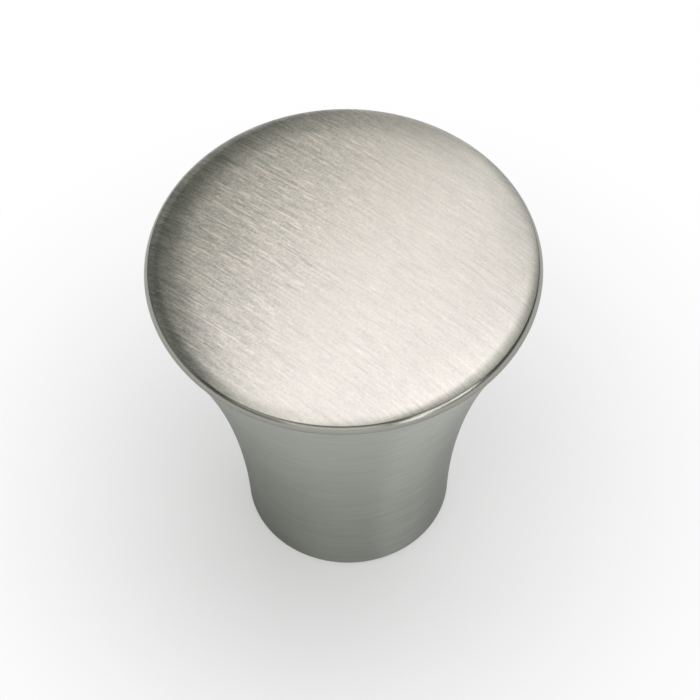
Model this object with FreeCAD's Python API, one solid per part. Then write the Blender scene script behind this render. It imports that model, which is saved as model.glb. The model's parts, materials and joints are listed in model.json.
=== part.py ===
import FreeCAD, Part

import math
import os

# A flared cabinet knob, turned and bored in one piece from solid metal.
#
# The knob stands with its seat on the plane Z = 0, which is the front of the door or drawer, and its axis
# on +Z. A trumpet-shaped neck grows from a small round foot to a wide rim. The rim is a narrow rounded band
# between two edges: the lower one is the widest place, where the neck starts, and the upper one bounds the
# face. The face is a shallow crown that falls ever more steeply, through a shoulder, to its rolled border.
# The back is turned slightly hollow inside the seating ring, so that the ring alone bears on the door, and
# a blind tapped hole takes the machine screw that comes through the door from inside.
# The hole has its tapping drill size here. Lengths are in millimetres and angles in degrees.

# Overall form
PROJECTION = 31.6  # from the door to the middle of the face
RIM_DIAMETER = 30.0  # the widest place, where the rim's band meets the neck
FOOT_DIAMETER = 16.0  # where the side of the neck meets the door

# Face
CROWN_RADIUS = 90.0  # the shallow arc over the middle of the face
SHOULDER_RADIUS = 20.0  # the arc between the crown and the border
SHOULDER_SLOPE = 14.0  # how steeply the face falls where the shoulder runs into the border
BORDER_RADIUS = 3.0  # the arc by which the face rolls over along its border
BORDER_SLOPE = 33.0  # how steeply the face falls where it ends at its edge

# Rim
BAND_RADIUS = 0.95  # the rounding of the band, which is upright at the widest place
FACE_EDGE_INSET = 0.3  # the face's edge lies this far inside the widest place

# Neck
FLARE_RADIUS = 77.0  # the hollow arc of the neck's side
FOOT_CORNER_BREAK = 0.25  # the bevel between the side of the neck and the seat

# Seat
SEAT_RING_WIDTH = 2.4  # from the foot's outside to the relief
RELIEF_DEPTH = 0.5  # from the seat up to the relief's floor

# Tapped hole
THREAD_DIAMETER = 4.0  # metric coarse thread
THREAD_PITCH = 0.7
THREAD_DEPTH = 12.0  # full thread, from the relief's floor
RUNOUT_TURNS = 3  # the drill goes this many turns of thread deeper than the full thread
DRILL_POINT_ANGLE = 118.0
COUNTERSINK_ANGLE = 90.0
COUNTERSINK_MARGIN = 0.3  # the countersink's mouth is wider than the thread by this much all round


def at(radius, height):
    """A point of the half section, which lies in the XZ plane."""
    return FreeCAD.Vector(radius, 0, height)


def turned_from_z(centre, distance, angle):
    """The point at a distance from a centre, at an angle in radians turned from +Z towards +X."""
    return centre + at(distance * math.sin(angle), distance * math.cos(angle))


def angle_from_z(start, end):
    """The angle in radians, turned from +Z towards +X, of the way from one point to another."""
    return math.atan2(end.x - start.x, end.z - start.z)


def line(start, end):
    return Part.LineSegment(start, end).toShape()


def arc(centre, radius, start_angle, end_angle):
    """An arc round a centre between two angles, both turned from +Z towards +X."""
    middle_angle = (start_angle + end_angle) / 2
    points = [turned_from_z(centre, radius, angle) for angle in (start_angle, middle_angle, end_angle)]
    return Part.Arc(*points).toShape()


def end_of(edge):
    return edge.valueAt(edge.LastParameter)


def revolved(edges):
    """The solid that a closed half section, given as edges in order, sweeps round the Z axis."""
    section = Part.Face(Part.Wire(edges))
    return section.revolve(at(0, 0), at(0, 1), 360)


def face_edges():
    """The crown, its shoulder and its rolled border, from the axis out to the face's edge.

    Where two arcs meet, their centres and that point lie on one line, so the face has no corner. The crown
    ends where the shoulder and the border, up to their given slopes, fill the rest of the face's radius."""
    shoulder_end = math.radians(SHOULDER_SLOPE)
    border_end = math.radians(BORDER_SLOPE)
    centre_gap = SHOULDER_RADIUS - BORDER_RADIUS
    face_radius = RIM_DIAMETER / 2 - FACE_EDGE_INSET
    beyond_crown = centre_gap * math.sin(shoulder_end) + BORDER_RADIUS * math.sin(border_end)
    crown_end = math.asin((face_radius - beyond_crown) / (CROWN_RADIUS - SHOULDER_RADIUS))

    crown_centre = at(0, PROJECTION - CROWN_RADIUS)
    shoulder_centre = turned_from_z(crown_centre, CROWN_RADIUS - SHOULDER_RADIUS, crown_end)
    border_centre = turned_from_z(shoulder_centre, centre_gap, shoulder_end)
    return [
        arc(crown_centre, CROWN_RADIUS, 0, crown_end),
        arc(shoulder_centre, SHOULDER_RADIUS, crown_end, shoulder_end),
        arc(border_centre, BORDER_RADIUS, shoulder_end, border_end),
    ]


def band_edge(face_edge):
    """The rounded band of the rim, from the face's edge down to the widest place, where it is upright."""
    band_start = math.asin(1 - FACE_EDGE_INSET / BAND_RADIUS)
    band_centre = turned_from_z(face_edge, -BAND_RADIUS, band_start)
    return arc(band_centre, BAND_RADIUS, band_start, math.pi / 2)


def side_edges(neck_edge):
    """The hollow side of the neck and the foot's bevelled corner, from the rim down to the seat.

    The side is an arc that would meet the door on the foot's diameter, but the bevel cuts its end off."""
    foot = at(FOOT_DIAMETER / 2, 0)
    chord = neck_edge - foot
    to_flare_centre = math.sqrt(FLARE_RADIUS**2 - (chord.Length / 2) ** 2)
    outward_and_down = at(chord.z, -chord.x) / chord.Length
    flare_centre = (foot + neck_edge) / 2 + outward_and_down * to_flare_centre
    rise = FOOT_CORNER_BREAK - flare_centre.z
    bevel_top = flare_centre + at(-math.sqrt(FLARE_RADIUS**2 - rise**2), rise)
    flare_start = angle_from_z(flare_centre, neck_edge)
    flare_end = angle_from_z(flare_centre, bevel_top)
    return [
        arc(flare_centre, FLARE_RADIUS, flare_start, flare_end),
        line(bevel_top, foot - at(FOOT_CORNER_BREAK, 0)),
    ]


def turned_body():
    """The outside of the knob in one revolve: face, rim, neck and seat."""
    face = face_edges()
    band = band_edge(end_of(face[-1]))
    side = side_edges(end_of(band))
    seat = line(end_of(side[-1]), at(0, 0))
    axis = line(at(0, 0), at(0, PROJECTION))
    return revolved([*face, band, *side, seat, axis])


def seat_relief():
    """The shallow disc that is turned away from the back inside the seating ring."""
    return Part.makeCylinder(FOOT_DIAMETER / 2 - SEAT_RING_WIDTH, RELIEF_DEPTH)


def screw_hole():
    """What the tapping drill and the countersink take away, from the seat to the drill's point."""
    drill_radius = (THREAD_DIAMETER - THREAD_PITCH) / 2
    mouth_radius = THREAD_DIAMETER / 2 + COUNTERSINK_MARGIN
    sink_end = RELIEF_DEPTH + (mouth_radius - drill_radius) / math.tan(math.radians(COUNTERSINK_ANGLE / 2))
    wall_end = RELIEF_DEPTH + THREAD_DEPTH + RUNOUT_TURNS * THREAD_PITCH
    point_end = wall_end + drill_radius / math.tan(math.radians(DRILL_POINT_ANGLE / 2))
    corners = [
        at(0, 0),
        at(mouth_radius, 0),
        at(mouth_radius, RELIEF_DEPTH),
        at(drill_radius, sink_end),
        at(drill_radius, wall_end),
        at(0, point_end),
    ]
    return revolved([line(start, end) for start, end in zip(corners, corners[1:] + corners[:1])])


os.makedirs("parts", exist_ok=True)
knob = turned_body().cut(seat_relief()).cut(screw_hole())
knob.exportStep("parts/knob.step")
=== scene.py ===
import json
import math

import bpy
import numpy as np
from mathutils import Matrix, Vector


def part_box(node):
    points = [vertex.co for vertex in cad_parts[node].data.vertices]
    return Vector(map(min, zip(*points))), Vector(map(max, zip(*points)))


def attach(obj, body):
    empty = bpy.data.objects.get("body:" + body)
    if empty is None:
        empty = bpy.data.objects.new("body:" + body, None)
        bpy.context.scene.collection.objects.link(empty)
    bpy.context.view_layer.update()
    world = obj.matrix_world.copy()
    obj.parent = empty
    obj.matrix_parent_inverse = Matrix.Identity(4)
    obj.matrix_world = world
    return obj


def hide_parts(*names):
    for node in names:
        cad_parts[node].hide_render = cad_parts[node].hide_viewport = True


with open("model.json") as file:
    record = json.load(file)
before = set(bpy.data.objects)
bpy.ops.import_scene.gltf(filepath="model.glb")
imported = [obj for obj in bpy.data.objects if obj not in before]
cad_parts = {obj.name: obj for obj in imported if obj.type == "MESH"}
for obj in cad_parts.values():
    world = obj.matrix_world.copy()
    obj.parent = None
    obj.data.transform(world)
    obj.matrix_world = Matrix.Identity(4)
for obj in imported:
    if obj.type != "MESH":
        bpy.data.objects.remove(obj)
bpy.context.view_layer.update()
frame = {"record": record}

# The knob's looks: one turned piece with a brushed face, a satin side and a tapped hole.
# Names that end in _MM hold millimetres and names that end in _DEG hold degrees.

MM = 0.001

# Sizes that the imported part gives
CAD_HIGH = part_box("knob")[1]
SCREW_HOLE = next(mount for mount in frame["record"]["mounts"] if mount["name"] == "screw_hole")
PROJECTION_MM = CAD_HIGH.z / MM
RIM_RADIUS_MM = CAD_HIGH.x / MM
DRILL_RADIUS_MM = SCREW_HOLE["dims"]["r_mm"]
HOLE_WALL_MM = SCREW_HOLE["dims"]["length_mm"]

# The other sizes of the profile, as in the part's source
FOOT_RADIUS_MM = 8.0
CROWN_RADIUS_MM = 90.0
SHOULDER_RADIUS_MM = 20.0
SHOULDER_SLOPE_DEG = 14.0
BORDER_RADIUS_MM = 3.0
BORDER_SLOPE_DEG = 33.0
BAND_RADIUS_MM = 0.95
FACE_EDGE_INSET_MM = 0.3
FLARE_RADIUS_MM = 77.0
FOOT_BREAK_MM = 0.25
SEAT_RING_MM = 2.4
RELIEF_DEPTH_MM = 0.5
COUNTERSINK_MARGIN_MM = 0.3
DRILL_POINT_DEG = 118.0

# The M4 thread
THREAD_RADIUS_MM = 2.0
THREAD_PITCH_MM = 0.7
THREAD_END_MM = 12.5
THREAD_FADE_MM = 1.4
FLANK_DEG = 30.0

# How far the polishing has eased each edge
BAND_EASE_MM = 0.03
BEVEL_EASE_MM = 0.06
SEAT_EASE_MM = 0.05
RELIEF_EASE_MM = 0.12

# How finely the piece is meshed
SEGMENTS = 160
ROWS_PER_TURN_OF_THREAD = 16
ROWS_OF_PLAIN_WALL = 3
ROWS_OF_EASED_CORNER = 4

# The finishes, in the order of the mesh's materials
REGIONS = ["face", "rim", "neck", "back", "thread"]

# Where the parts of the surface lie on the UV maps
FACE_CHART_MIDDLE = (0.25, 0.75)
FACE_CHART_RADIUS = 0.23
STRIP_CHARTS = {"outside": ((0.52, 0.01), (0.46, 0.97)), "hole": ((0.02, 0.02), (0.46, 0.46))}

# The brushing of the face, turned from +X. In the photograph it runs down to the right.
BRUSH_DEG = -39.0


def from_z(centre, distance, angle):
    """A point of the half section, at an angle turned from +Z outward."""
    return np.array(centre) + distance * np.array([math.sin(angle), math.cos(angle)])


def angle_from_z(start, end):
    """The angle from +Z outward at which one point of the half section sees another."""
    return math.atan2(end[0] - start[0], end[1] - start[1])


class Line:
    """A straight stretch of the half section."""

    def __init__(self, start, end):
        self.start = np.array(start, float)
        self.way = np.array(end, float) - self.start
        self.length = float(np.hypot(*self.way))

    def at(self, distance):
        """The point and the direction of travel at a distance along the stretch."""
        direction = self.way / self.length
        return self.start + direction * distance, direction


class Arc:
    """A stretch of the half section along a circle, between two angles turned from +Z outward."""

    def __init__(self, centre, radius, start_angle, end_angle):
        self.centre = centre
        self.radius = radius
        self.start_angle = start_angle
        self.turn = 1.0 if end_angle > start_angle else -1.0
        self.length = radius * abs(end_angle - start_angle)

    def at(self, distance):
        """The point and the direction of travel at a distance along the stretch."""
        angle = self.start_angle + self.turn * distance / self.radius
        direction = self.turn * np.array([math.cos(angle), -math.sin(angle)])
        return from_z(self.centre, self.radius, angle), direction


def face_stretches():
    """The crown, its shoulder and its rolled border, from the middle out to the face's edge."""
    shoulder_end = math.radians(SHOULDER_SLOPE_DEG)
    border_end = math.radians(BORDER_SLOPE_DEG)
    centre_gap = SHOULDER_RADIUS_MM - BORDER_RADIUS_MM
    face_radius = RIM_RADIUS_MM - FACE_EDGE_INSET_MM
    beyond_crown = centre_gap * math.sin(shoulder_end) + BORDER_RADIUS_MM * math.sin(border_end)
    crown_end = math.asin((face_radius - beyond_crown) / (CROWN_RADIUS_MM - SHOULDER_RADIUS_MM))
    crown_centre = (0.0, PROJECTION_MM - CROWN_RADIUS_MM)
    shoulder_centre = from_z(crown_centre, CROWN_RADIUS_MM - SHOULDER_RADIUS_MM, crown_end)
    border_centre = from_z(shoulder_centre, centre_gap, shoulder_end)
    return (
        Arc(crown_centre, CROWN_RADIUS_MM, 0.0, crown_end),
        Arc(shoulder_centre, SHOULDER_RADIUS_MM, crown_end, shoulder_end),
        Arc(border_centre, BORDER_RADIUS_MM, shoulder_end, border_end),
    )


def neck_stretch(neck_edge):
    """The hollow side of the neck, from the rim down to the bevel of the foot."""
    foot = np.array([FOOT_RADIUS_MM, 0.0])
    chord = neck_edge - foot
    length = float(np.hypot(*chord))
    outward_and_down = np.array([chord[1], -chord[0]]) / length
    centre = (foot + neck_edge) / 2 + outward_and_down * math.sqrt(FLARE_RADIUS_MM**2 - (length / 2) ** 2)
    rise = FOOT_BREAK_MM - centre[1]
    bevel_top = (centre[0] - math.sqrt(FLARE_RADIUS_MM**2 - rise**2), FOOT_BREAK_MM)
    return Arc(centre, FLARE_RADIUS_MM, angle_from_z(centre, neck_edge), angle_from_z(centre, bevel_top))


def outside_stretches():
    """Every stretch of the outside in order, with its region, number of rows and how far its end is eased."""
    crown, shoulder, border = face_stretches()
    band_start = math.asin(1 - FACE_EDGE_INSET_MM / BAND_RADIUS_MM)
    band_centre = from_z(border.at(border.length)[0], -BAND_RADIUS_MM, band_start)
    band = Arc(band_centre, BAND_RADIUS_MM, band_start, math.pi / 2)
    neck = neck_stretch(band.at(band.length)[0])
    bevel_top = neck.at(neck.length)[0]
    bevel_foot = (FOOT_RADIUS_MM - FOOT_BREAK_MM, 0.0)
    relief_wall = FOOT_RADIUS_MM - SEAT_RING_MM
    mouth = THREAD_RADIUS_MM + COUNTERSINK_MARGIN_MM
    return [
        ("face", crown, 24, 0.0),
        ("face", shoulder, 8, 0.0),
        ("face", border, 14, BAND_EASE_MM),
        ("rim", band, 14, BAND_EASE_MM),
        ("neck", neck, 44, BEVEL_EASE_MM),
        ("neck", Line(bevel_top, bevel_foot), 2, SEAT_EASE_MM),
        ("back", Line(bevel_foot, (relief_wall, 0.0)), 6, SEAT_EASE_MM),
        ("back", Line((relief_wall, 0.0), (relief_wall, RELIEF_DEPTH_MM)), 3, RELIEF_EASE_MM),
        ("back", Line((relief_wall, RELIEF_DEPTH_MM), (mouth, RELIEF_DEPTH_MM)), 8, 0.0),
    ]


def eased_corner(before, after, reach):
    """The rows between the ends of a small rounding, which touches the stretches before and after it."""
    start, way_in = before.at(before.length - reach)
    end, way_out = after.at(reach)
    # The tangents' meeting point is the control point of the curve.
    across = np.array([way_out[1], -way_out[0]])
    meeting = start + way_in * (np.dot(end - start, across) / np.dot(way_in, across))
    for step in range(1, ROWS_OF_EASED_CORNER):
        share = step / ROWS_OF_EASED_CORNER
        point = (1 - share) ** 2 * start + 2 * share * (1 - share) * meeting + share**2 * end
        direction = (1 - share) * (meeting - start) + share * (end - meeting)
        yield point, direction / np.hypot(*direction)


def outside_rows():
    """Point, direction of travel and region of every row, from the middle of the face to the hole's mouth."""
    stretches = outside_stretches()
    rows = []
    # A stretch starts where the rounding before it ends, and stops short of the one after it.
    skip = 0.0
    for place, (region, stretch, count, reach) in enumerate(stretches):
        for step in range(count + 1):
            distance = skip + (stretch.length - skip - reach) * step / count
            rows.append((*stretch.at(distance), region))
        if reach:
            following = stretches[place + 1]
            rows.extend((*row, following[0]) for row in eased_corner(stretch, following[1], reach))
        elif place + 1 < len(stretches):
            # The next stretch starts with this same row.
            rows.pop()
        skip = reach
    return rows


def bore_radius(angle, height):
    """The radius of the hole at an array of angles and one height: countersink, thread and drilled wall."""
    mouth = THREAD_RADIUS_MM + COUNTERSINK_MARGIN_MM
    plain = np.maximum(DRILL_RADIUS_MM, mouth - (height - RELIEF_DEPTH_MM))
    turns = height / THREAD_PITCH_MM - angle / (2 * math.pi)
    off_groove = np.abs(turns - np.round(turns)) * THREAD_PITCH_MM
    steepness = 1 / math.tan(math.radians(FLANK_DEG))
    depth = THREAD_RADIUS_MM - DRILL_RADIUS_MM
    # The bottom of the groove is an eighth of the pitch wide.
    half_mouth = THREAD_PITCH_MM / 16 + depth / steepness
    fade = np.clip((THREAD_END_MM - height) / THREAD_FADE_MM, 0, 1)
    groove = np.clip((half_mouth - off_groove) * steepness, 0, depth) * fade
    return np.maximum(plain, DRILL_RADIUS_MM + groove)


def bore_heights():
    """Heights of the rows of the hole, close together where there is thread."""
    start = RELIEF_DEPTH_MM
    wall_end = start + (THREAD_RADIUS_MM + COUNTERSINK_MARGIN_MM - DRILL_RADIUS_MM) + HOLE_WALL_MM
    count = math.ceil((THREAD_END_MM - start) / THREAD_PITCH_MM * ROWS_PER_TURN_OF_THREAD)
    threaded = np.linspace(start, THREAD_END_MM, count + 1)
    plain = np.linspace(THREAD_END_MM, wall_end, ROWS_OF_PLAIN_WALL + 1)
    return np.concatenate([threaded, plain[1:]])


def knob_grid():
    """Rings of points from the face's middle to the end of the hole's wall.

    Each has its normals, its region and its distance from the middle along the surface. The rings of the hole
    have None for their normals, which are left to the mesh."""
    angles = np.arange(SEGMENTS) * 2 * math.pi / SEGMENTS
    around = np.stack([np.cos(angles), np.sin(angles)], axis=1)
    rings = []
    normals = []
    regions = []
    lengths = [0.0]
    for point, way, region in outside_rows():
        rings.append(np.column_stack([around * point[0], np.full(SEGMENTS, point[1])]))
        normals.append(np.column_stack([around * -way[1], np.full(SEGMENTS, way[0])]))
        regions.append(region)
    for height in bore_heights()[1:]:
        radius = bore_radius(angles, height)
        rings.append(np.column_stack([around * radius[:, None], np.full(SEGMENTS, height)]))
        normals.append(None)
        regions.append("thread")
    for above, below in zip(rings, rings[1:]):
        lengths.append(lengths[-1] + float(np.linalg.norm(below[0] - above[0])))
    return rings, normals, regions, lengths


def build_knob(materials):
    """The knob as one closed mesh, with fans of triangles at the face's middle and at the drill's tip."""
    # The first ring has no width, so the point at the middle of the face takes its place.
    rings, ring_normals, regions, lengths = (rows[1:] for rows in knob_grid())
    tip_height = rings[-1][0][2] + DRILL_RADIUS_MM / math.tan(math.radians(DRILL_POINT_DEG / 2))
    points = np.vstack([[[0, 0, PROJECTION_MM]], *rings, [[0, 0, tip_height]]]) * MM
    last = len(points) - 1
    faces = []
    face_regions = []
    following = [(place + 1) % SEGMENTS for place in range(SEGMENTS)]
    for place, after in enumerate(following):
        faces.append((0, 1 + place, 1 + after))
        face_regions.append("face")
    for row in range(len(rings) - 1):
        upper = 1 + row * SEGMENTS
        lower = upper + SEGMENTS
        for place, after in enumerate(following):
            faces.append((upper + place, lower + place, lower + after, upper + after))
            face_regions.append(regions[row + 1])
    upper = 1 + (len(rings) - 1) * SEGMENTS
    for place, after in enumerate(following):
        faces.append((upper + place, last, upper + after))
        face_regions.append("thread")

    mesh = bpy.data.meshes.new("turned_knob")
    mesh.from_pydata(points.tolist(), [], faces)
    for material in materials:
        mesh.materials.append(material)
    mesh.polygons.foreach_set("material_index", [REGIONS.index(region) for region in face_regions])
    mesh.polygons.foreach_set("use_smooth", [True] * len(faces))
    mesh.update()
    lay_out_map(mesh, "OFBake", lengths)
    lay_out_map(mesh, "brushing", lengths)

    normals = np.zeros((len(points), 3), np.float32)
    mesh.vertex_normals.foreach_get("vector", normals.ravel())
    normals[0] = (0, 0, 1)
    for row, ring_normal in enumerate(ring_normals):
        if ring_normal is not None:
            normals[1 + row * SEGMENTS : 1 + (row + 1) * SEGMENTS] = ring_normal
    mesh.normals_split_custom_set_from_vertices(normals.tolist())

    piece = bpy.data.objects.new("turned_knob", mesh)
    bpy.context.scene.collection.objects.link(piece)
    return piece


def lay_out_map(mesh, name, lengths):
    """A UV map with the face flat in the upper left, the outside as a strip on the right and the hole below.

    U runs across the tool marks and V along them, so the map also says which way the metal is brushed."""
    layer = mesh.uv_layers.new(name=name)
    last = len(mesh.vertices) - 1
    brush = math.radians(BRUSH_DEG)
    along = Vector((math.cos(brush), math.sin(brush)))
    across = Vector((-along.y, along.x))
    charts = {"face": [], "outside": [], "hole": []}
    chart_of_region = {"face": "face", "thread": "hole"}
    for polygon in mesh.polygons:
        region = REGIONS[polygon.material_index]
        charts[chart_of_region.get(region, "outside")].append(polygon)

    corners = [mesh.vertices[i].co for polygon in charts["face"] for i in polygon.vertices]
    face_radius = max(math.hypot(corner.x, corner.y) for corner in corners)
    for polygon in charts["face"]:
        for loop, vertex in zip(polygon.loop_indices, polygon.vertices):
            flat = Vector(mesh.vertices[vertex].co[:2]) / face_radius * FACE_CHART_RADIUS
            layer.data[loop].uv = Vector(FACE_CHART_MIDDLE) + Vector((flat.dot(across), flat.dot(along)))

    for chart, (corner, size) in STRIP_CHARTS.items():
        rows = {(i - 1) // SEGMENTS for polygon in charts[chart] for i in polygon.vertices if i != last}
        low = lengths[min(rows)]
        high = lengths[max(rows)] + (DRILL_RADIUS_MM if chart == "hole" else 0)
        for polygon in charts[chart]:
            columns = [(i - 1) % SEGMENTS for i in polygon.vertices if i != last]
            # The last column of faces runs back to the first ring point, which counts as one turn further on.
            wraps = max(columns) - min(columns) > SEGMENTS / 2
            for loop, vertex in zip(polygon.loop_indices, polygon.vertices):
                if vertex == last:
                    share, column = 1.0, min(columns) + 0.5
                else:
                    row, column = divmod(vertex - 1, SEGMENTS)
                    share = (lengths[row] - low) / (high - low)
                    column += SEGMENTS if wraps and column < SEGMENTS / 2 else 0
                layer.data[loop].uv = (corner[0] + size[0] * share, corner[1] + size[1] * column / SEGMENTS)


class Nodes:
    """A short way to write a material's node tree."""

    def __init__(self, name):
        self.material = bpy.data.materials.new(name)
        self.material.use_nodes = True
        self.tree = self.material.node_tree
        self.shader = self.tree.nodes["Principled BSDF"]

    def add(self, kind, inputs=None, **settings):
        """A node with its settings. An input is a socket of another node, or a plain value."""
        node = self.tree.nodes.new(kind)
        for key, value in settings.items():
            setattr(node, key, value)
        for key, value in (inputs or {}).items():
            self.put(node.inputs[key], value)
        return node

    def put(self, socket, value):
        """Links another node's socket to this one, or sets a plain value on it."""
        if isinstance(value, bpy.types.NodeSocket):
            self.tree.links.new(value, socket)
        else:
            socket.default_value = value

    def math(self, operation, *values):
        """The result of a sum on sockets and plain numbers."""
        node = self.add("ShaderNodeMath", operation=operation)
        for socket, value in zip(node.inputs, values):
            self.put(socket, value)
        return node.outputs[0]

    def noise(self, vector):
        """Noise of about one feature per unit of the vector, around 0 and mostly within plus or minus 1."""
        settings = {"Vector": vector, "Scale": 1.0, "Detail": 1.0, "Roughness": 0.5}
        node = self.add("ShaderNodeTexNoise", settings)
        return self.math("MULTIPLY_ADD", node.outputs[0], 4.0, -2.0)

    def ramp(self, value, low, high, to_low, to_high):
        """A smooth step between two values as the input goes from low to high."""
        limits = {"Value": value, "From Min": low, "From Max": high, "To Min": to_low, "To Max": to_high}
        return self.add("ShaderNodeMapRange", limits, interpolation_type="SMOOTHSTEP").outputs[0]

    def scaled(self, vector, sizes_mm):
        """The vector in units of the given lengths along X, Y and Z."""
        per_metre = [1 / (size * MM) for size in sizes_mm]
        return self.add("ShaderNodeVectorMath", {0: vector, 1: per_metre}, operation="MULTIPLY").outputs[0]


def brushed_vector(nodes):
    """Object coordinates turned so that X runs along the brushing of the face."""
    place = nodes.add("ShaderNodeTexCoord").outputs["Object"]
    turn = {"Vector": place, "Angle": math.radians(-BRUSH_DEG)}
    return nodes.add("ShaderNodeVectorRotate", turn, rotation_type="Z_AXIS").outputs[0]


def turned_vector(nodes):
    """X and Y as they are, and in Z the way along the profile, so that marks run round the axis."""
    place = nodes.add("ShaderNodeTexCoord").outputs["Object"]
    parts = nodes.add("ShaderNodeSeparateXYZ", {0: place})
    flat = nodes.add("ShaderNodeCombineXYZ", {0: parts.outputs[0], 1: parts.outputs[1]})
    radius = nodes.add("ShaderNodeVectorMath", {0: flat.outputs[0]}, operation="LENGTH").outputs["Value"]
    way = nodes.math("SUBTRACT", parts.outputs[2], radius)
    return nodes.add("ShaderNodeCombineXYZ", {0: parts.outputs[0], 1: parts.outputs[1], 2: way}).outputs[0]


# Colours of the metal. The brushed face lies between the light and the dark one.
NICKEL_LIGHT = (0.76, 0.695, 0.63)
NICKEL_DARK = (0.37, 0.385, 0.355)
# The satin and rim colours are darker copies of the face's nickel: painted shade on the side, the back, the
# hole and the rim.
SHADED_SATIN_NICKEL = (0.42, 0.426, 0.40)
SHADED_RIM_NICKEL = (0.36, 0.355, 0.32)

# Layers of marks: the length of one mark along X, Y and Z in millimetres, and the weight of the layer.
# For the marks of turning Z runs along the profile. The strokes of the brushing run along X.
TURN_MARKS = [((2.5, 2.5, 0.07), 0.6), ((5.0, 5.0, 0.5), 0.4)]
STROKES = [((3.5, 0.2, 3.5), 0.5), ((1.1, 0.17, 1.1), 0.45)]

# The other marks of the brushing: the length of one along X, Y and Z, and the noise at which it starts to
# show and shows in full
SPECKLE_MM = (0.2, 0.17, 0.2)
# The light dash marks are painted glints: short scratches drawn lighter in colour, as if they caught the
# light.
GLINT_DASH_MM = (1.6, 0.16, 1.6)
GLINT_DASH_START = 0.35
GLINT_DASH_FULL = 0.95
DARK_LINE_MM = (5.0, 0.13, 5.0)
DARK_LINE_START = 0.45
DARK_LINE_FULL = 1.05

# How much lighter each kind of mark makes the brushed metal
STROKE_LIGHT = 0.5
SPECKLE_LIGHT = 0.3
GLINT_DASH_LIGHT = 0.8
DARK_LINE_LIGHT = -0.5

# The brushing is strong on one side of the face and weak on the other, in its relief and in the contrast of
# its marks in colour. That colour contrast is partly painted light and shade: the marks stand out most where
# the face mirrors the darker surroundings, as scratches catch the light there. Given here: the way to the
# strong side, the two places on that way, seen from the axis, between which it grows, and how strong it is on
# the weak side.
STRONG_SIDE = (-0.88, 0.46, 0.0)
STRONG_START_MM = -2.0
STRONG_FULL_MM = 9.0
WEAK_BRUSH_AND_GLINT = 0.36

# Painted shade and light on a turned metal: darkest at the foot, it gets lighter from there up to this
# height.
LIGHTEST_FROM_MM = 26.0


def layered(nodes, vector, marks):
    """Layers of marks in one height, around 0."""
    height = 0.0
    for sizes, weight in marks:
        height = nodes.math("MULTIPLY_ADD", nodes.noise(nodes.scaled(vector, sizes)), weight, height)
    return height


def finish_metal(nodes, dark, light, share, roughness, height, bump_um, anisotropy):
    """Bare metal with a relief, brushed along V of its map, whose colour lies between dark and light."""
    colour = nodes.add("ShaderNodeMix", data_type="RGBA")
    nodes.put(colour.inputs["Factor"], share)
    nodes.put(colour.inputs[6], (*dark, 1))
    nodes.put(colour.inputs[7], (*light, 1))
    bump = nodes.add("ShaderNodeBump", {"Strength": 1.0, "Distance": bump_um * 1e-6, "Height": height})
    tangent = nodes.add("ShaderNodeTangent", direction_type="UV_MAP", uv_map="brushing")
    shader = nodes.shader.inputs
    nodes.put(shader["Base Color"], colour.outputs[2])
    nodes.put(shader["Roughness"], roughness)
    nodes.put(shader["Normal"], bump.outputs[0])
    nodes.put(shader["Tangent"], tangent.outputs[0])
    shader["Metallic"].default_value = 1.0
    shader["Anisotropic"].default_value = anisotropy
    return nodes.material


def turned_metal(name, colour, contrast, roughness, anisotropy, bump_um, painted_foot_shade=0.0):
    """Metal with fine turning marks round the axis, which show in colour, roughness and relief.

    roughness holds its middle value and its change in the marks. painted_foot_shade is the share of painted
    shade and light by which the colour gets darker towards the foot and lighter towards the rim."""
    nodes = Nodes(name)
    height = layered(nodes, turned_vector(nodes), TURN_MARKS)
    # The marks take up one part of the span between the two colours and the painted shade by height above the
    # seat the other.
    span = contrast + painted_foot_shade
    light = [channel * (1 + span) for channel in colour]
    dark = [channel * (1 - span) for channel in colour]
    share = nodes.math("MULTIPLY_ADD", height, 0.5 * contrast / span, 0.5)
    # Painted shade: the colour gets darker towards the foot and lighter up towards the rim.
    if painted_foot_shade:
        place = nodes.add("ShaderNodeTexCoord").outputs["Object"]
        rise = nodes.add("ShaderNodeSeparateXYZ", {0: place}).outputs[2]
        reach = 0.5 * painted_foot_shade / span
        share = nodes.math("ADD", share, nodes.ramp(rise, 0.0, LIGHTEST_FROM_MM * MM, -reach, reach))
    rough = nodes.math("MULTIPLY_ADD", height, -roughness[1], roughness[0])
    return finish_metal(nodes, dark, light, share, rough, height, bump_um, anisotropy)


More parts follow.
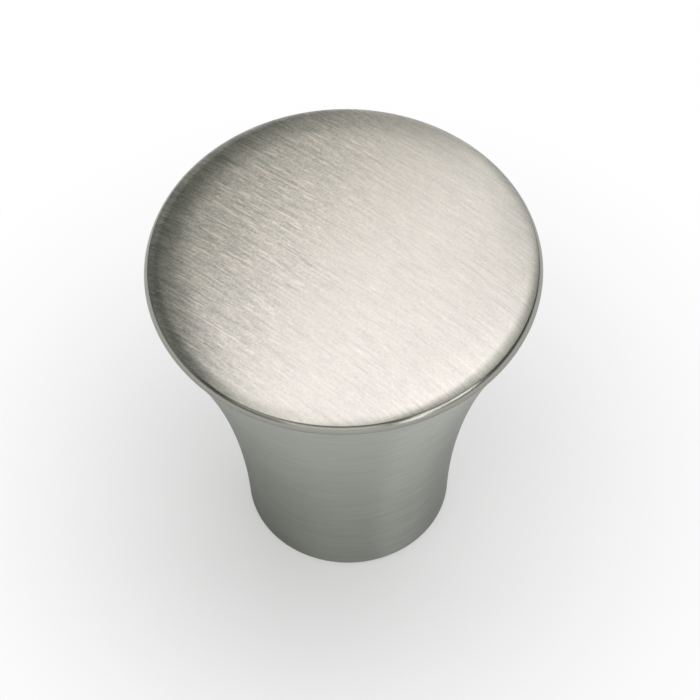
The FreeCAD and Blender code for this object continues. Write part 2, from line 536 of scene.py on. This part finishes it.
def brushed_metal(name, dark, light, roughness, anisotropy, bump_um):
    """The brushed face: long and short strokes, a fine speckle, scattered short light dash marks that are
    painted glints, and dark lines.

    roughness holds its middle value and its change in the strokes."""
    nodes = Nodes(name)
    vector = brushed_vector(nodes)
    place = nodes.add("ShaderNodeTexCoord").outputs["Object"]
    towards = nodes.add("ShaderNodeVectorMath", {0: place, 1: STRONG_SIDE}, operation="DOT_PRODUCT")
    # The relief and the colour contrast of the marks, which is partly painted light and shade, both grow
    # towards the strong side.
    strength = nodes.ramp(
        towards.outputs["Value"], STRONG_START_MM * MM, STRONG_FULL_MM * MM, WEAK_BRUSH_AND_GLINT, 1.0
    )

    strokes = layered(nodes, vector, STROKES)
    speckle = nodes.noise(nodes.scaled(vector, SPECKLE_MM))
    # Painted glints: short light dash marks in the colour, stronger on one side.
    glint_dashes = nodes.ramp(nodes.noise(nodes.scaled(vector, GLINT_DASH_MM)), GLINT_DASH_START, GLINT_DASH_FULL, 0.0, 1.0)
    line_noise = nodes.noise(nodes.scaled(vector, DARK_LINE_MM))
    dark_lines = nodes.ramp(line_noise, DARK_LINE_START, DARK_LINE_FULL, 0.0, 1.0)

    marks = nodes.math("MULTIPLY", strokes, STROKE_LIGHT)
    marks = nodes.math("MULTIPLY_ADD", speckle, SPECKLE_LIGHT, marks)
    marks = nodes.math("MULTIPLY_ADD", nodes.math("MULTIPLY", glint_dashes, strength), GLINT_DASH_LIGHT, marks)
    marks = nodes.math("MULTIPLY_ADD", dark_lines, DARK_LINE_LIGHT, marks)
    share = nodes.math("MULTIPLY_ADD", marks, strength, 0.5)
    rough = nodes.math("MULTIPLY_ADD", strokes, -roughness[1], roughness[0])
    relief = nodes.math("MULTIPLY", strokes, strength)
    return finish_metal(nodes, dark, light, share, rough, relief, bump_um, anisotropy)


def knob_materials():
    """The finishes, in the order of the regions."""
    face = brushed_metal(
        "brushed_face", NICKEL_DARK, NICKEL_LIGHT, roughness=(0.35, 0.01), anisotropy=0.75, bump_um=4.0
    )
    # The rim, the neck, the back and the hole take the darker copies of the nickel: painted shade.
    rim = turned_metal(
        "satin_rim", SHADED_RIM_NICKEL, contrast=0.02, roughness=(0.24, 0.02), anisotropy=0.3, bump_um=0.4
    )
    # The neck has painted shade, darker towards its foot and lighter towards the rim.
    neck = turned_metal(
        "satin_neck", SHADED_SATIN_NICKEL, contrast=0.09, roughness=(0.55, 0.03), anisotropy=0.88, bump_um=2.0,
        painted_foot_shade=0.12,
    )
    back = turned_metal(
        "turned_back", SHADED_SATIN_NICKEL, contrast=0.03, roughness=(0.32, 0.04), anisotropy=0.6, bump_um=1.2
    )
    thread = turned_metal(
        "cut_thread", SHADED_SATIN_NICKEL, contrast=0.03, roughness=(0.3, 0.03), anisotropy=0.5, bump_um=0.5
    )
    return [face, rim, neck, back, thread]


# The table top: how far it reaches in metres, how far it lies below the seat, and its colour
TABLE_REACH = 1.5
TABLE_GAP_MM = 0.02
TABLE_COLOUR = (0.88, 0.88, 0.88, 1)

# In view the table is plain white beyond the second distance from the knob's axis. Towards the first one its
# own surface shows more, with the knob's shadow on it, until only the given share of plain white is left.
BARE_IN_VIEW_MM = 8.0
WHITE_IN_VIEW_MM = 42.0
WHITE_AT_FOOT = 0.4

# Mirrored in the metal, the table is bare within the first distance and plain white beyond the second.
BARE_IN_METAL_MM = 35.0
WHITE_IN_METAL_MM = 120.0


def table_material():
    """A pale matt table that keeps the knob's shadow and turns to plain white away from it."""
    nodes = Nodes("pale_table")
    nodes.shader.inputs["Base Color"].default_value = TABLE_COLOUR
    nodes.shader.inputs["Roughness"].default_value = 0.9
    nodes.shader.inputs["Specular IOR Level"].default_value = 0.0
    place = nodes.add("ShaderNodeTexCoord").outputs["Object"]
    distance = nodes.add("ShaderNodeVectorMath", {0: place}, operation="LENGTH").outputs["Value"]
    away_in_view = nodes.ramp(distance, BARE_IN_VIEW_MM * MM, WHITE_IN_VIEW_MM * MM, WHITE_AT_FOOT, 1.0)
    away_in_metal = nodes.ramp(distance, BARE_IN_METAL_MM * MM, WHITE_IN_METAL_MM * MM, 0.0, 1.0)
    rays = nodes.add("ShaderNodeLightPath").outputs
    reflected = nodes.math("MAXIMUM", rays["Is Glossy Ray"], rays["Is Transmission Ray"])
    in_metal = nodes.math("MULTIPLY", away_in_metal, reflected)
    white = nodes.add("ShaderNodeEmission")
    white.inputs["Color"].default_value = (1, 1, 1, 1)
    white.inputs["Strength"].default_value = 1.0
    share = nodes.math("MULTIPLY_ADD", away_in_view, rays["Is Camera Ray"], in_metal)
    mixed = nodes.add("ShaderNodeMixShader", {0: share, 1: nodes.shader.outputs[0], 2: white.outputs[0]})
    nodes.put(nodes.tree.nodes["Material Output"].inputs["Surface"], mixed.outputs[0])
    return nodes.material


def build_floor():
    """A plain pale table top, a hair below the seat."""
    height = -TABLE_GAP_MM * MM
    corners = [(x * TABLE_REACH, y * TABLE_REACH, height) for x, y in ((-1, -1), (1, -1), (1, 1), (-1, 1))]
    mesh = bpy.data.meshes.new("table_top")
    mesh.from_pydata(corners, [], [(0, 1, 2, 3)])
    mesh.materials.append(table_material())
    floor = bpy.data.objects.new("table_top", mesh)
    bpy.context.scene.collection.objects.link(floor)


# Every lamp faces the knob's head from the same distance, in metres.
KNOB_HEAD = Vector((0, 0, 30 * MM))
LAMP_DISTANCE = 0.6

# The dim room between the lamps
ROOM_COLOUR = (0.84, 1.0, 0.84, 1)
ROOM_STRENGTH = 0.11


def soft_light(name, at, size, radiance, tint=(1, 1, 1)):
    """An oblong lamp that faces the knob's head.

    at holds its azimuth and elevation in degrees, with azimuth 0 towards +X and 90 towards +Y. size holds its
    width and depth in metres. radiance says how bright its face is."""
    azimuth, elevation = (math.radians(angle) for angle in at)
    level = math.cos(elevation)
    away = Vector((math.cos(azimuth) * level, math.sin(azimuth) * level, math.sin(elevation)))
    data = bpy.data.lights.new(name, "AREA")
    data.shape = "RECTANGLE"
    data.size, data.size_y = size
    data.energy = radiance * math.pi * size[0] * size[1]
    data.color = tint
    lamp = bpy.data.objects.new(name, data)
    facing = away.to_track_quat("Z", "Y").to_matrix().to_4x4()
    lamp.matrix_world = Matrix.Translation(KNOB_HEAD + away * LAMP_DISTANCE) @ facing
    bpy.context.scene.collection.objects.link(lamp)


def light_scene():
    """The lamps of a studio, behind the knob, beside it and in front of it, in a dim room."""
    soft_light("overhead", at=(75, 80), size=(0.5, 0.5), radiance=1.73, tint=(1.0, 0.965, 1.02))
    soft_light("back_middle", at=(95.5, 45.5), size=(0.24, 0.155), radiance=1.48, tint=(1.0, 0.97, 0.92))
    soft_light("back_middle_right", at=(77, 46), size=(0.14, 0.16), radiance=0.98, tint=(1.0, 0.95, 0.95))
    soft_light("back_right", at=(50, 50), size=(0.4, 0.3), radiance=0.6)
    soft_light("back_right_low", at=(55, 28), size=(0.35, 0.2), radiance=1.0)
    soft_light("back_low", at=(80, 13), size=(0.3, 0.14), radiance=0.7)
    soft_light("back_left_low", at=(118, 18), size=(0.24, 0.14), radiance=0.35)
    soft_light("left_low", at=(178, 20), size=(0.35, 0.16), radiance=0.4)
    soft_light("right_high", at=(0, 60), size=(0.3, 0.26), radiance=1.15)
    soft_light("right_middle", at=(0, 45), size=(0.26, 0.16), radiance=0.78)
    soft_light("front_high", at=(-90, 65), size=(0.35, 0.22), radiance=1.35, tint=(1.0, 0.98, 0.97))
    soft_light("front_low", at=(-95, 14), size=(0.5, 0.25), radiance=1.2)
    soft_light("front_right_low", at=(-33, 22), size=(0.14, 0.2), radiance=3.0)
    soft_light("front_right_glint", at=(-50, 19), size=(0.14, 0.2), radiance=2.5)
    soft_light("front_right_strip", at=(-60, 6), size=(0.13, 0.14), radiance=3.4)
    soft_light("left_high", at=(170, 66), size=(0.3, 0.2), radiance=0.42, tint=(0.95, 1.0, 0.9))
    soft_light("front_left", at=(-140, 45), size=(0.35, 0.3), radiance=0.62, tint=(1.0, 0.98, 0.91))
    soft_light("front_left_low", at=(-130, 20), size=(0.3, 0.14), radiance=0.8)
    soft_light("front_left_high", at=(-130, 62), size=(0.2, 0.16), radiance=1.25)
    world = bpy.data.worlds.new("studio")
    world.use_nodes = True
    background = world.node_tree.nodes["Background"]
    background.inputs["Color"].default_value = ROOM_COLOUR
    background.inputs["Strength"].default_value = ROOM_STRENGTH
    bpy.context.scene.world = world


# The camera, solved from the outline of the knob in the photograph
CAMERA_AIM_MM = (0.35, 0.0, 18.61)
CAMERA_DISTANCE_MM = 300.0
CAMERA_ELEVATION_DEG = 55.27
CAMERA_ROLL_DEG = -1.303
SENSOR_MM = 36.0
IMAGE_PX = 700
FOCAL_PX = 3875.0


def place_camera():
    """A camera in front of the knob that looks down on it, with a slight roll."""
    elevation = math.radians(CAMERA_ELEVATION_DEG)
    roll = math.radians(CAMERA_ROLL_DEG)
    back = Vector((0, -math.cos(elevation), math.sin(elevation)))
    right = Vector((1, 0, 0))
    up = back.cross(right)
    rolled_right = right * math.cos(roll) + up * math.sin(roll)
    rolled_up = up * math.cos(roll) - right * math.sin(roll)
    data = bpy.data.cameras.new("camera")
    data.sensor_width = SENSOR_MM
    data.lens = SENSOR_MM * FOCAL_PX / IMAGE_PX
    data.clip_start = 0.01
    camera = bpy.data.objects.new("camera", data)
    axes = Matrix((rolled_right, rolled_up, back)).transposed()
    aim = Vector(CAMERA_AIM_MM) * MM
    camera.matrix_world = Matrix.Translation(aim + back * CAMERA_DISTANCE_MM * MM) @ axes.to_4x4()
    bpy.context.scene.collection.objects.link(camera)
    bpy.context.scene.camera = camera


place_camera()
knob = build_knob(knob_materials())
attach(knob, "root")
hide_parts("knob")
build_floor()
light_scene()
bpy.context.scene.view_settings.view_transform = "Standard"
